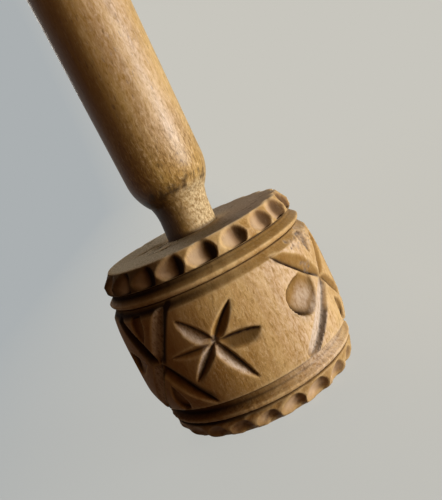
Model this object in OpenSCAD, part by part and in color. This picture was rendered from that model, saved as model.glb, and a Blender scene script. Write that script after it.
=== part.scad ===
// Carved wooden pastry stamp: a barrel-shaped head, chip-carved round its side and on its
// stamping face, on a turned handle whose round tenon is wedged in a blind socket.
// Millimetres. The stamp stands on its stamping face at z = 0 with its axis on Z, and the
// side with the whole star faces -Y.

/* [Head] */
// Height of the head, from the stamping face to its flat top
head_h = 40.5; // [36:0.5:52]
// Largest diameter, at the middle of the barrel-shaped band
band_d = 48.4; // [42:0.2:58]
// How far the middle of the band stands out from its edges
band_bulge = 0.9; // [0.4:0.1:2]
// How far the rims stand back from the middle of the band
rim_setback = 1.8; // [1:0.1:3]
// Height of the upper scooped rim
top_rim_h = 4.4; // [3.4:0.1:6]
// Height of the lower scooped rim
base_rim_h = 4.9; // [3.4:0.1:6]
// Width of the sloping edge of each rim
rim_bevel_w = 1.5; // [0.5:0.1:3]
// Height of the sloping edge of each rim
rim_bevel_h = 1.8; // [0.5:0.1:3]
// Height of the half-round beads between the rims and the band
bead_h = 2.8; // [1.6:0.1:4]
// How far the beads stand back from the middle of the band
bead_setback = 1.1; // [0.6:0.1:2]
// Width of the narrow grooves on both sides of each bead
quirk_w = 0.5; // [0.3:0.1:1]
// How far the bottom of those grooves lies inside the middle of the band
quirk_setback = 2.6; // [2:0.1:4]
// Width of the sloping upper edge of the band
band_bevel_w = 1.8; // [1:0.1:3]
// Height of the sloping upper edge of the band
band_bevel_h = 2.4; // [1:0.1:4]

/* [Rim scoops] */
// Number of gouge scoops round each rim
scoop_count = 20; // [12:1:28]
// Sweep radius of the gouge
scoop_r = 4.2; // [3:0.1:5]
// How far the scoops are centred outside the rim
scoop_out = 1.8; // [1:0.1:2.6]
// How far the scoops are centred inside the head's end faces
scoop_in = 0.25; // [0:0.05:1]
// Turn of the upper ring of scoops
top_scoop_turn = 1; // [-9:1:9]
// Turn of the lower ring of scoops
base_scoop_turn = 10; // [-9:1:10]

/* [Crosses] */
// Places of the crosses round the band, from the front
cross_places = [-48, 56, 184];
// Slope of each cross's arms
cross_slopes = [54, 42, 48];
// Width of the arms
cross_arm_w = 3.4; // [2:0.1:5]
// Depth of the arms
cross_arm_depth = 1.3; // [0.8:0.1:1.8]
// Distance from the crossing to the start of its arms
cross_gap = 0.8; // [0.4:0.1:2]
// Length of the thumbnail cuts above and below each cross
end_thumb_l = 6.5; // [4:0.1:9]
// Width of those thumbnail cuts
end_thumb_w = 3.6; // [2:0.1:5]
// Length of the thumbnail cut beside each cross
side_thumb_l = 9; // [6:0.1:12]
// Width of the thumbnail cut beside each cross
side_thumb_w = 5.4; // [3:0.1:7]
// Depth of the thumbnail cuts
thumb_depth = 1.4; // [0.8:0.1:2]
// How far the straight sides of the thumbnail cuts lie inside their round ends
thumb_step = 0.15; // [0.05:0.05:0.4]
// Distance from the crossing to the points of the thumbnail cuts
thumb_gap = 4; // [2:0.1:6]

/* [Stars] */
// Places of the stars round the band, from the front
star_places = [-13.5, 120, 242];
// Directions of the petals, from level towards the handle
petal_turns = [46, 130, 181, 222, 296, 353];
// Lengths of the petals
petal_lengths = [8.7, 7.8, 9, 8.3, 10.7, 8.8];
// Distance from the middle of the star to the start of its petals
star_gap = 0.7; // [0.4:0.1:2]
// Width of the petals
petal_w = 2.8; // [1.6:0.1:4]
// Depth of the petals
petal_depth = 1; // [0.6:0.1:1.5]

/* [Stamping face] */
// Number of petals in the rosette
rosette_count = 6; // [4:1:8]
// Length of the rosette's petals
rosette_l = 15.5; // [10:0.5:17]
// Width of the rosette's petals
rosette_w = 5.6; // [3:0.1:7]
// Depth of the rosette's cuts
rosette_depth = 1.4; // [0.8:0.1:2]
// Flat spot left in the middle of the rosette
rosette_spot_d = 2; // [1:0.1:4]
// Diameter of the ring cut round the rosette
ring_d = 36; // [34:0.5:38]
// Width of that ring
ring_w = 1.4; // [0.8:0.1:2]
// Depth of that ring
ring_depth = 0.8; // [0.4:0.1:1.2]

/* [Handle] */
// Length of the handle above the head
handle_l = 127.5; // [100:0.5:160]
// Diameter of the neck, and of the tenon that goes on below it
neck_d = 11.7; // [10:0.1:14]
// Length of the neck, from the head to the shoulder
neck_l = 7.9; // [6:0.1:12]
// Diameter of the neck under the shoulder
neck_top_d = 13; // [12:0.1:15]
// Height over which the neck widens
neck_flare_h = 3.8; // [2:0.1:5]
// Height of the rounded shoulder
shoulder_h = 7.1; // [6:0.1:12]
// Diameter where the shoulder meets the grip
shoulder_d = 18.1; // [16:0.1:22]
// Largest diameter of the grip
grip_d = 21.6; // [20:0.1:28]
// Height of the grip's largest diameter above the shoulder
swell_up = 56; // [40:0.5:70]
// Rounding of the handle's free end
end_round = 6.5; // [3:0.1:8]

/* [Tenon joint] */
// Length of the tenon in the head
tenon_l = 27; // [20:0.5:32]
// Gap between the tenon and the wall of its socket
socket_gap = 0.05; // [0.02:0.01:0.1]
// Gap between the end of the tenon and the floor of its socket
floor_gap = 0.2; // [0.1:0.05:0.5]
// Length of the saw kerf in the tenon
kerf_l = 16; // [12:0.5:18]
// Width of the saw kerf
kerf_w = 1; // [0.8:0.1:1.5]
// Length of the wedge in the kerf
wedge_l = 13; // [10:0.5:15]
// Thickness of the wedge at its thick end
wedge_t = 2.2; // [1.8:0.1:3]
// Gap between the wedge and the kerf
wedge_gap = 0.04; // [0.02:0.01:0.1]

/* [Hidden] */
head_color = [0.66, 0.53, 0.35];
handle_color = [0.59, 0.46, 0.28];
wedge_color = [0.80, 0.70, 0.54];
$fn = 96;
// Facets of the long flat curve of the grip
flat_curve_fn = 2880;
// Straight steps that make up the slight curve of the band
band_steps = 8;
// Turn of the front, -Y, from +X
front = -90;
// Turn of a bare stretch of the band, where the turned surfaces start and end
bare_turn = 272;
// Length by which cuts run past what they take away
past = 0.4;

// Head, from the stamping face up
band_r = band_d / 2;
rim_r = band_r - rim_setback;
bead_r = band_r - bead_setback;
quirk_r = band_r - quirk_setback;
base_bead_z = base_rim_h + quirk_w + bead_h / 2;
band_z0 = base_rim_h + bead_h + 2 * quirk_w;
band_z1 = head_h - top_rim_h - bead_h - 2 * quirk_w;
top_bead_z = head_h - top_rim_h - quirk_w - bead_h / 2;
band_h = band_z1 - band_z0;
band_mid_z = (band_z0 + band_z1) / 2;
band_curve_r = arc_radius(band_h / 2, band_bulge);
scoop_ring_r = rim_r + scoop_out;

// Joint and handle, from the socket's floor up
tenon_z = head_h - tenon_l;
socket_floor_z = tenon_z - floor_gap;
neck_r = neck_d / 2;
neck_top_r = neck_top_d / 2;
shoulder_z = head_h + neck_l;
grip_z = shoulder_z + shoulder_h;
swell_z = grip_z + swell_up;
handle_top_z = head_h + handle_l;
grip_end_z = handle_top_z - end_round;
shoulder_r = shoulder_d / 2;
grip_r = grip_d / 2;
shoulder_curve_r = arc_radius(shoulder_h, shoulder_r - neck_top_r);
neck_curve_r = arc_radius(neck_flare_h, neck_top_r - neck_r);
grip_curve_r = arc_radius(swell_up, grip_r - shoulder_r);
grip_end_r = grip_r - arc_drop(grip_end_z - swell_z, grip_curve_r);

// Radius of the arc that falls by drop over a half chord
function arc_radius(half, drop) = (half * half + drop * drop) / (2 * drop);
// Fall of an arc of radius r at a distance from its top
function arc_drop(along, r) = r - sqrt(r * r - along * along);
// Radius of the band at a height
function band_radius(z) = band_r - arc_drop(z - band_mid_z, band_curve_r);
// Height of a step of the band's curve
function band_step_z(i) = band_z0 + i * band_h / band_steps;
// Turn round the band that a level distance along it makes
function band_turn(along) = along / band_r * 180 / PI;
// Length of a cross's arm, from near its crossing to the edge of the band
function arm_length(slope) = band_h / 2 / sin(slope) - cross_gap;

// Places children on the band, with +X out of the wood, +Y to the right and +Z up
module on_band(turn, z) {
    rotate([0, 0, front + turn])
        translate([band_radius(z), 0, z])
            children();
}

// Leaf-shaped cut with a V section, where two balls overlap. It lies along Y, opens to +X and
// runs out at its tips, where the surface has fallen by drop.
module leaf_cut(length, width, depth, drop = 0) {
    rise = depth - drop / 2;
    keel_r = arc_radius(length / 2, rise);
    apart = (length * length - width * width) / (4 * width);
    ball_r = sqrt(keel_r * keel_r + apart * apart);
    deepest = rise + drop;
    intersection() {
        translate([keel_r - deepest, 0, apart]) sphere(r = ball_r);
        translate([keel_r - deepest, 0, -apart]) sphere(r = ball_r);
        translate([-deepest - past, -length / 2 - past, -width])
            cube([deepest + 2 * past, length + 2 * past, 2 * width]);
    }
}

// Leaf cut on the band that starts at a place and leads away in a direction
module band_leaf(turn, z, direction, start, length, width, depth) {
    middle = start + length / 2;
    drop = arc_drop(length / 2 * cos(direction), band_r);
    on_band(turn + band_turn(middle * cos(direction)), z + middle * sin(direction))
        rotate([direction, 0, 0])
            leaf_cut(length, width, depth, drop);
}

// Thumbnail cut: a cone from its point at the origin, which ends in a ball at its deep round end.
// It lies along +Y and opens to +X.
module thumb_cut(length, width, depth) {
    ball_r = arc_radius(width / 2, depth);
    ball_x = ball_r - depth;
    ball_y = length - width / 2;
    reach = norm([ball_x, ball_y]);
    rotate([0, 0, -atan2(ball_x, ball_y)]) {
        rotate([-90, 0, 0]) cylinder(h = reach, r1 = 0, r2 = ball_r - thumb_step);
        translate([0, reach, 0]) sphere(r = ball_r);
    }
}

// Thumbnail cut on the band that points at a place
module band_thumb(turn, z, direction, start, length, width) {
    middle = start + length / 2;
    on_band(turn + band_turn(middle * cos(direction)), z + middle * sin(direction))
        rotate([direction, 0, 0])
            translate([0, -length / 2, 0])
                thumb_cut(length, width, thumb_depth);
}

// Four leaf arms that meet at a crossing, with thumbnail cuts in three of the spaces between
module cross_cuts(turn, slope) {
    arm_l = arm_length(slope);
    for (direction = [slope, 180 - slope, 180 + slope, 360 - slope])
        band_leaf(turn, band_mid_z, direction, cross_gap, arm_l, cross_arm_w, cross_arm_depth);
    band_thumb(turn, band_mid_z, 90, thumb_gap, end_thumb_l, end_thumb_w);
    band_thumb(turn, band_mid_z, 270, thumb_gap, end_thumb_l, end_thumb_w);
    band_thumb(turn, band_mid_z, 180, thumb_gap, side_thumb_l, side_thumb_w);
}

// Hand-cut star of pointed petals
module star_cuts(turn) {
    for (i = [0 : len(petal_turns) - 1])
        band_leaf(turn, band_mid_z, petal_turns[i], star_gap, petal_lengths[i], petal_w, petal_depth);
}

// Ring of gouge scoops at a height
module scoop_cuts(z, turn) {
    for (i = [0 : scoop_count - 1])
        rotate([0, 0, front + turn + i * 360 / scoop_count])
            translate([scoop_ring_r, 0, z])
                sphere(r = scoop_r);
}

// Rosette of leaf cuts on the stamping face
module rosette_cuts() {
    for (i = [0 : rosette_count - 1])
        rotate([0, 0, front + i * 360 / rosette_count])
            rotate([0, 90, 0])
                translate([0, (rosette_spot_d + rosette_l) / 2, 0])
                    leaf_cut(rosette_l, rosette_w, rosette_depth);
}

// Half section of the core with a rim at each end
module core_section() {
    polygon([
        [0, 0],
        [rim_r - rim_bevel_w, 0],
        [rim_r, rim_bevel_h],
        [rim_r, base_rim_h],
        [quirk_r, base_rim_h],
        [quirk_r, head_h - top_rim_h],
        [rim_r, head_h - top_rim_h],
        [rim_r, head_h - rim_bevel_h],
        [rim_r - rim_bevel_w, head_h],
        [0, head_h]
    ]);
}

// Half section of the barrel-shaped band
module band_section() {
    intersection() {
        polygon([
            [0, band_z0],
            for (i = [0 : band_steps]) [band_radius(band_step_z(i)), band_step_z(i)],
            [0, band_z1]
        ]);
        polygon([
            [0, band_z0],
            [band_r, band_z0],
            [band_r, band_z1 - band_bevel_h],
            [band_r - band_bevel_w, band_z1],
            [0, band_z1]
        ]);
    }
}

// Half section of the head before it is carved
module head_section() {
    difference() {
        union() {
            core_section();
            translate([bead_r - bead_h / 2, base_bead_z]) circle(d = bead_h);
            translate([bead_r - bead_h / 2, top_bead_z]) circle(d = bead_h);
            band_section();
        }
        translate([ring_d / 2, 0])
            polygon([[-ring_w / 2, 0], [0, ring_depth], [ring_w / 2, 0], [0, -past]]);
        translate([0, socket_floor_z])
            square([neck_r + socket_gap, head_h]);
    }
}

module stamp_head() {
    color(head_color)
        difference() {
            rotate([0, 0, front + bare_turn]) rotate_extrude() head_section();
            scoop_cuts(head_h - scoop_in, top_scoop_turn);
            scoop_cuts(scoop_in, base_scoop_turn);
            rosette_cuts();
            for (i = [0 : len(cross_places) - 1])
                cross_cuts(cross_places[i], cross_slopes[i]);
            for (place = star_places)
                star_cuts(place);
        }
}

// Half section of the tenon and of the neck, which widens under the shoulder
module neck_section() {
    translate([0, tenon_z]) square([neck_r, shoulder_z - tenon_z]);
    difference() {
        translate([0, shoulder_z - neck_flare_h]) square([neck_top_r, neck_flare_h]);
        translate([neck_r + neck_curve_r, shoulder_z - neck_flare_h]) circle(r = neck_curve_r);
    }
}

// Half section of the grip, from the rounded shoulder to the rounded end
module grip_section() {
    intersection() {
        translate([shoulder_r - shoulder_curve_r, grip_z]) circle(r = shoulder_curve_r);
        translate([0, shoulder_z]) square([shoulder_r, shoulder_h]);
    }
    intersection() {
        translate([grip_r - grip_curve_r, swell_z]) circle(r = grip_curve_r, $fn = flat_curve_fn);
        translate([0, grip_z]) square([grip_r, grip_end_z - grip_z]);
    }
    translate([0, grip_end_z]) square([grip_end_r - end_round, end_round]);
    intersection() {
        translate([grip_end_r - end_round, grip_end_z]) circle(r = end_round);
        translate([0, grip_end_z]) square([grip_end_r, end_round]);
    }
}

// Outline of the wedge, in the plane of its thickness and length, grown by a gap on its faces
module wedge_outline(gap) {
    tip = kerf_w / 2 - wedge_gap + gap;
    base = wedge_t / 2 + gap;
    polygon([[-base, 0], [base, 0], [tip, wedge_l], [-tip, wedge_l]]);
}

// Sawn kerf of the tenon, forced open by the wedge
module kerf_cut() {
    translate([0, neck_d, tenon_z])
        rotate([90, 0, 0])
            linear_extrude(2 * neck_d) {
                wedge_outline(wedge_gap);
                translate([-kerf_w / 2, 0]) square([kerf_w, kerf_l]);
            }
}

module handle() {
    color(handle_color)
        difference() {
            rotate_extrude() {
                neck_section();
                grip_section();
            }
            kerf_cut();
        }
}

module fox_wedge() {
    color(wedge_color)
        intersection() {
            translate([0, neck_d, tenon_z])
                rotate([90, 0, 0])
                    linear_extrude(2 * neck_d) wedge_outline(0);
            translate([0, 0, tenon_z]) cylinder(h = wedge_l, r = neck_r);
        }
}

stamp_head();
handle();
fox_wedge();
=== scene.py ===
"""Carved wooden pastry stamp: looks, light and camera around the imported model.

Sizes in the shape functions are millimetres, and meshes are made in metres. Turns round the stamp
are degrees from the front, -Y, and grow towards +X. Heights are above the stamping face.
"""
import math

import bpy
import numpy as np
from mathutils import Matrix, Vector


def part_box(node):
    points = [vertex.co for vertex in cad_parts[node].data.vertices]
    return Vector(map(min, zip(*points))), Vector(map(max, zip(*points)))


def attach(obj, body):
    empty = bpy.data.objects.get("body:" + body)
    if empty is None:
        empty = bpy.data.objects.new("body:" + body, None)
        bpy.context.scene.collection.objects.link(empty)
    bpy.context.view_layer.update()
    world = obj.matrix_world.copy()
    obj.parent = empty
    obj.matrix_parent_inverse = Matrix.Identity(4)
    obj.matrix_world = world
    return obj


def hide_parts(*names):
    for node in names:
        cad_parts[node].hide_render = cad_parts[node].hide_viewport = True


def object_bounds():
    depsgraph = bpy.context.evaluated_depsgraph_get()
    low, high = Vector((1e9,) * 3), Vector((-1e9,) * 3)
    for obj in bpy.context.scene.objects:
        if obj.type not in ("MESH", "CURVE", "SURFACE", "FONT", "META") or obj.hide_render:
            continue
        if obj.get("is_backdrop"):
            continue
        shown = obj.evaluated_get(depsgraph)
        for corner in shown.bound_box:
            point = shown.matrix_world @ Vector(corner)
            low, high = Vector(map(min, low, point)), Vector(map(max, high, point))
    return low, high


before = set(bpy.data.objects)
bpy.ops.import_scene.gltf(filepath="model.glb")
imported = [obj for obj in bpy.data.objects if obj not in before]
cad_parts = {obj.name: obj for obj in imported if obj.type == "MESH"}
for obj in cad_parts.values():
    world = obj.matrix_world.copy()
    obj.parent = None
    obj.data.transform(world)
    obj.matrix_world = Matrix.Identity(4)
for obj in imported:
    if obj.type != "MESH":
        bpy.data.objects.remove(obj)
cad_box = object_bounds()
scene = bpy.context.scene
rng = np.random.default_rng(11)

MM = 0.001


def frame_height(node, corner):
    """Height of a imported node's lowest (0) or highest (1) corner, in mm."""
    return round(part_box(node)[corner][2] / MM, 2)


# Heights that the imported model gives
HEAD_H = frame_height("stamp_head", 1)
TENON_Z = frame_height("handle", 0)
HANDLE_TOP = frame_height("handle", 1)

# Turned sizes of the head
RIM_R = 22.4
TOP_FACE_R = 20.8
TOP_SCOOP_R = 17.6
SOCKET_R = 5.9
SOCKET_CHAMFER = 0.2
SOCKET_FLOOR = 13.3
RING_R = 18.0
RING_W = 1.4
RING_DEPTH = 0.8
BASE_EDGE_R = 18.8
BASE_ROUND = 3.3
BASE_RIM_H = 4.5
BAND_R = 24.17
BAND_LOW = 9.05
BAND_START = BAND_LOW + 0.5
BAND_HIGH = 30.9
BAND_MID = 20.5
# How far the band falls in at its edges, and the power of that curve
BAND_FALL = 0.62
BAND_POWER = 3.5

# Radii of a bead's root, of the three steps of its cove and of the groove above
BEAD_ROOT_R = 21.7
COVE_R = (22.4, 21.75, 21.4)
GROOVE_R = 21.3
# Each bead: height of its widest point, its reach out and down, heights of the steps and the groove
BASE_BEAD = (5.95, 1.3, 1.05, (6.5, 7.3, 8.5), 8.8)
TOP_BEAD = (34.05, 1.35, 1.1, (34.6, 35.2, 35.8), 35.95)

# Stretches of the outline beside the beads: radius and height at the end, rows, and a word for each
BASE_GROOVE = (21.8, 4.85, 2, "groove")
BAND_FOOT = (22.6, BAND_LOW, 3, "groove")
BEVEL = ((22.7, 32.0, 5, "bevel"), (22.2, 32.65, 3, "bevel"), (21.7, 32.85, 2, "groove"))
TOP_RIM = (
    (RIM_R - 0.1, 36.3, 3, "groove"),
    (RIM_R, 36.5, 1, "top_rim"),
    (RIM_R, 38.1, 8, "top_rim"),
    (TOP_FACE_R, HEAD_H, 11, "top_rim"),
    (TOP_SCOOP_R, HEAD_H, 4, "top_rim"),
)

# Gouge scoops of the rims: count, turn of the first, radius of the gouge, its distance outside the
# rim, height of its middle, and a point inside the wood that the cuts face
TOP_SCOOPS = (20, 3.2, 4.45, 2.3, 39.2, (13.0, 33.0))
BASE_SCOOPS = (22, 11.8, 4.5, 1.8, 0.3, (13.0, 7.5))
# How far from its middle a scoop may reach, in degrees
SCOOP_REACH = 25
# The gouge ran to the right: how gently a scoop's left slopes, how steeply its right
SCOOP_EASE = 0.82
SCOOP_STEEP = 1.5
# How far the base scoops raise the lower edge of their rim
BASE_NOTCH = 0.75

# Unevenness of the turning, and shares of the radius that the base and the left of both ends lack
TURNING_ERROR = 0.05
BASE_SMALL = 0.014
LEFT_BASE_SMALL = 0.012
LEFT_TOP_SMALL = 0.015

# Depths of wear on the lower bead below a height, on the edges above it, the base and the flat top
BEAD_WORN_Z = 7.4
BEAD_NICKS = 0.14
BEAD_ROUGH = 0.03
EDGE_NICKS = 0.05
BASE_CHEWED = 0.09
TOP_ROUGH = 0.02

# Turned sizes of the handle
NECK_R = 5.85
NECK_TOP_R = 6.5
NECK_TOP_Z = 48.4
NECK_FLARE = 3.8
SHOULDER_Z = 55.5
SHOULDER_R = 9.05
SWELL_Z = 111.5
SWELL_R = 10.8
END_ROUND = 6.5
# The grip: a height, a radius and a slope at each station
GRIP = ((SHOULDER_Z, SHOULDER_R, 0.016), (97.0, 9.82, 0.022), (SWELL_Z, SWELL_R, 0.0))
# The handle leans a little to the right: by how much, and where the lean grows and fades
LEAN = 1.05
LEAN_GROWS = (26.0, 52.0)
LEAN_FADES = (132.0, 98.0)
# Share of the handle's unevenness, and the torn lip where its neck ends: how far out, how deep below
HANDLE_UNEVEN = 0.004
LIP_OUT = 0.1
LIP_TORN = 0.07
# The saw cut of the tenon and the wedge in it
KERF_L = 16.0
KERF_W = 1.0
WEDGE_L = 13.0
WEDGE_SEAT_W = 2.28

# Columns of the meshes: fine on the carved front of the head, coarser behind
FRONT_TURN = 82.0
FRONT_COLUMNS = 262
BACK_COLUMNS = 150
HANDLE_COLUMNS = 144

# Places on the band: turn, and height above its middle
FRONT_STAR = (-12.9, 1.3)
LEFT_CROSS = (-48.1, 0.4)
RIGHT_CROSS = (57.0, 0.9)
BACK_CROSS = (184.0, 0.0)
DROP = (48.0, 4.9)

# Petals of a star: direction, length, width of the left and right walls, shift of the bottom, depth,
# and how the petal swells near its start and its tip
STAR = (
    (46, 9.2, 0.95, 1.65, 0.4, 1.35, 0.42, 0.8),
    (353, 9.6, 0.8, 3.1, 0.35, 1.2, 0.7, 0.7),
    (296, 11.4, 0.6, 2.2, 0.2, 1.35, 0.45, 0.8),
    (222, 9.6, 1.2, 1.1, -0.2, 1.3, 0.45, 0.75),
    (181, 10.4, 1.3, 1.0, 0.1, 0.7, 0.5, 0.8),
    (130, 8.9, 2.45, 0.7, -0.4, 1.15, 0.5, 0.7),
)
# Each star: its place and its twist
STAR_PLACES = ((*FRONT_STAR, 0.0), (120.0, 0.6, 18.0), (242.0, 0.2, -14.0))
# Pit in the middle of a star: depth, and square of its radius
STAR_PIT = (0.35, 0.45)

# Arms of the crosses: a place, then as for a petal. An arm may leave out how it swells
CROSS_ARMS = (
    (*LEFT_CROSS, 58.7, 14.6, 2.3, 0.9, -0.75, 1.5, 0.3, 0.35),
    (*LEFT_CROSS, 125, 13.8, 1.2, 1.9, 0.3, 1.45, 0.35, 0.6),
    (*LEFT_CROSS, 233.6, 14.4, 0.9, 2.2, 0.7, 1.45, 0.3, 0.4),
    (*LEFT_CROSS, 311, 14.6, 1.9, 1.8, -0.3, 1.5, 0.35, 0.55),
    (*RIGHT_CROSS, 41, 15.0, 1.8, 1.8, 0.0, 1.3),
    (*RIGHT_CROSS, 139.5, 15.4, 0.75, 3.0, 0.35, 1.45),
    (*RIGHT_CROSS, 222, 17.6, 0.7, 3.1, 1.4, 1.15, 0.16, 0.2),
    (*RIGHT_CROSS, 321, 16.0, 1.7, 1.7, 0.0, 1.3),
    (*BACK_CROSS, 48, 14.6, 1.0, 2.3, 0.5, 1.3),
    (*BACK_CROSS, 132, 14.6, 2.2, 1.0, -0.4, 1.3),
    (*BACK_CROSS, 228, 14.6, 1.0, 2.3, 0.5, 1.3),
    (*BACK_CROSS, 312, 14.6, 1.7, 1.7, 0.0, 1.3),
)

# Thumbnail cuts: place of the point, direction, length, width, depth
THUMBS = (
    (-51.4, 5.0, 84, 6.9, 3.7, 1.35),
    (-47.0, -4.6, 272, 6.6, 3.6, 1.3),
    (-57.6, 0.6, 182, 8.8, 5.4, 1.35),
    (57.6, 6.2, 76, 5.9, 3.7, 1.35),
    (60.2, -4.6, 300, 7.4, 4.2, 1.35),
    (*DROP, 222, 10.4, 8.6, 2.5),
    (184.6, 4.2, 88, 6.6, 3.6, 1.3),
    (183.2, -4.2, 271, 6.6, 3.6, 1.3),
    (174.8, 0.8, 186, 8.8, 5.4, 1.4),
)

# Stretches of the cuts painted pale, as light on their walls and as highlights: a place, direction
# from it, start and end along that, shift to the left, half width, share
LIT_STRETCHES = (
    (*RIGHT_CROSS, 222, 0.6, 17.0, -0.2, 1.9, 1.0),
    (*DROP, 222, 3.4, 8.6, 0.9, 2.2, 0.55),
    (*LEFT_CROSS, 58.7, 1.2, 14.0, 0.4, 1.2, 1.0),
    (*LEFT_CROSS, 233.6, 1.2, 13.5, -0.4, 1.1, 0.9),
    (*FRONT_STAR, 302, 0.4, 1.9, -0.5, 0.5, 1.0),
    (*FRONT_STAR, 130, 1.5, 8.2, 0.9, 1.2, 0.8),
    (*FRONT_STAR, 296, 0.8, 9.5, -1.1, 0.9, 0.8),
    (*FRONT_STAR, 222, 1.2, 8.6, -0.9, 0.7, 0.8),
)

# Stretches of the cuts painted dark as shade, in the same form
SHADE_STRETCHES = (
    (*LEFT_CROSS, 58.7, 0.5, 15.0, -1.7, 0.7, 1.0),
    (*LEFT_CROSS, 233.6, 0.5, 15.0, 1.2, 0.6, 1.0),
    (*LEFT_CROSS, 125, 0.5, 14.0, 0.6, 1.3, 0.9),
    (*LEFT_CROSS, 311, 1.0, 14.0, 0.6, 1.2, 0.8),
    (*RIGHT_CROSS, 222, 6.0, 17.0, 1.9, 0.5, 0.9),
    (*RIGHT_CROSS, 139.5, 1.0, 15.0, 0.5, 0.4, 0.8),
    (*DROP, 222, 8.9, 11.0, 0.4, 2.6, 0.8),
    (*FRONT_STAR, 353, 1.4, 9.4, -1.1, 1.4, 0.55),
    (*FRONT_STAR, 46, 1.2, 9.0, -0.5, 0.8, 0.4),
    (*FRONT_STAR, 222, 1.2, 9.2, 0.6, 0.7, 0.5),
    (*FRONT_STAR, 0, -1.0, 0.8, 0.1, 0.5, 1.0),
)

# Chipped places: middle turn, middle height, spread in degrees, spread in mm, chips, size, depth
CHIPPED = (
    (61.0, 30.3, 11.0, 2.6, 90, 0.8, 0.42),
    (66.0, 9.6, 16.0, 1.0, 30, 0.6, 0.12),
    (FRONT_STAR[0], BAND_MID + FRONT_STAR[1], 1.6, 0.7, 12, 0.45, 0.4),
    (50.0, 25.0, 2.5, 1.4, 14, 0.5, 0.2),
)

# Scars of the flat top: how many, and the limits of their turn, distance from the axis and depth
TOP_SCARS = (
    (18, (-112, -28), (7.4, 11.8), (0.25, 0.5)),
    (26, (0, 360), (7.5, 18.5), (0.08, 0.16)),
)

# Rosette of the stamping face: petals, distance from its middle, then a petal from its length on
ROSETTE = (6, 1.0, 15.5, 2.8, 2.8, 0.0, 1.4, 0.7, 0.7)

# The side painted brown as shade: turns between which it fades in at the front and back
SHADED_FRONT = (-4, -36)
SHADED_BACK = (-178, -120)
# Crevices painted black as shade there: height and spread
CREVICES = ((4.6, 0.45), (7.3, 1.1), (31.9, 0.8), (35.4, 0.65))
# Turns between which that painted shade fades in, and the least radius that it lies at
CREVICE_TURNS = (30, -40)
CREVICE_R = 18.0
# Painted sheen, paler where the highlight falls: middle turn and spread on the head and on the handle
HEAD_SHEEN = (36.0, 20.0)
GRIP_SHEEN = (32.0, 40.0)
# Painted sheen on the right of the lower bead: share, middle turn and spread
BEAD_SHEEN = (0.35, 48, 22)


# Numbers and curves
def linear(colour):
    """Linear colour of an 8-bit screen colour. A node's output stays as it is."""
    if not isinstance(colour, tuple):
        return colour
    values = []
    for part in colour:
        part /= 255.0
        values.append(part / 12.92 if part <= 0.04045 else ((part + 0.055) / 1.055) ** 2.4)
    return (*values, 1.0)


def smooth(low, high, value):
    """Smooth step from 0 at low to 1 at high."""
    t = np.clip((value - low) / (high - low), 0.0, 1.0)
    return t * t * (3.0 - 2.0 * t)


def bell(value, middle, spread):
    """Bell curve that is 1 at its middle."""
    return np.exp(-(((value - middle) / spread) ** 2))


def wrapped(turn):
    """The same turn between -180 and 180 degrees."""
    return (turn + 180) % 360 - 180


def turned(a, b, angle):
    """Turns two coordinates, or two axes, into each other."""
    c = math.cos(angle)
    s = math.sin(angle)
    return c * a + s * b, c * b - s * a


def lean(height):
    """How far the handle and the mouth of its socket stand to the right of the axis."""
    return LEAN * smooth(*LEAN_GROWS, height) * smooth(*LEAN_FADES, height)


def wobble(turn, height, waves, reach):
    """Seeded smooth unevenness over turn and height, about 1 high at most."""
    total = np.zeros_like(turn)
    for _ in range(waves):
        around = rng.integers(1, reach)
        along = rng.uniform(-0.25, 0.25)
        phase = rng.uniform(0, 2 * math.pi)
        total = total + np.sin(np.radians(turn) * around + height * along + phase)
    return total / waves


def row_noise(turn, step):
    """Seeded noise round the stamp, from -1 to 1, with a new value every step degrees."""
    count = int(360 / step)
    values = rng.uniform(-1, 1, count)
    place = np.asarray(turn) % 360 / 360 * count
    low = np.floor(place).astype(int)
    part = smooth(0.0, 1.0, place - low)
    return values[low % count] * (1 - part) + values[(low + 1) % count] * part


def dents(turn, step):
    """Seeded dents round the stamp, from 0 to 1."""
    return np.clip(row_noise(turn, step), 0, 1)


# Carving
def on_band(turn, height, place, level, direction):
    """Lengthwise and crosswise distance from a place on the band, along a direction."""
    across = np.radians(wrapped(turn - place)) * BAND_R
    up = height - BAND_MID - level
    return turned(across, up, math.radians(direction))


def leaf_depth(u, v, length, left, right, spine, depth, near=0.6, far=0.7):
    """Depth of a V cut that swells from its start to its tip. Left and right are the widths of its
    two walls, and spine is how far the bottom lies to the left."""
    t = np.clip(u / length, 0.0, 1.0)
    peak = near / (near + far)
    swell = t ** near * (1 - t) ** far / (peak ** near * (1 - peak) ** far)
    offset = v - spine * swell
    wall = np.where(offset > 0, offset / left, -offset / right) / np.maximum(swell, 1e-6)
    return depth * swell ** 0.8 * np.clip(1 - wall, 0.0, 1.0) ** 0.85


def thumb_depth(u, v, length, width, depth):
    """Depth of a thumbnail cut: a point at its start, a deep steep round end."""
    t = np.clip(u / length, 0.0, 1.0)
    half = width / 2 * t * np.sqrt(1 - t) / (2 / 3 * math.sqrt(1 / 3))
    hollow = np.sqrt(np.clip(1 - (v / np.maximum(half, 1e-6)) ** 2, 0.0, 1.0))
    return depth * t ** 0.7 * hollow


def band_depth(turn, height):
    """Depth of all cuts in the band."""
    depth = np.zeros_like(turn)
    pit_depth, pit_size = STAR_PIT
    for place, level, twist in STAR_PLACES:
        for direction, *shape in STAR:
            u, v = on_band(turn, height, place, level, direction + twist)
            depth = np.maximum(depth, leaf_depth(u, v, *shape))
        u, v = on_band(turn, height, place, level, 0)
        depth = depth + pit_depth * np.exp(-(u * u + v * v) / pit_size)
    for place, level, direction, *shape in CROSS_ARMS:
        u, v = on_band(turn, height, place, level, direction)
        depth = np.maximum(depth, leaf_depth(u, v, *shape))
    for place, level, direction, *shape in THUMBS:
        u, v = on_band(turn, height, place, level, direction)
        depth = np.maximum(depth, thumb_depth(u, v, *shape))
    return depth


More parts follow.
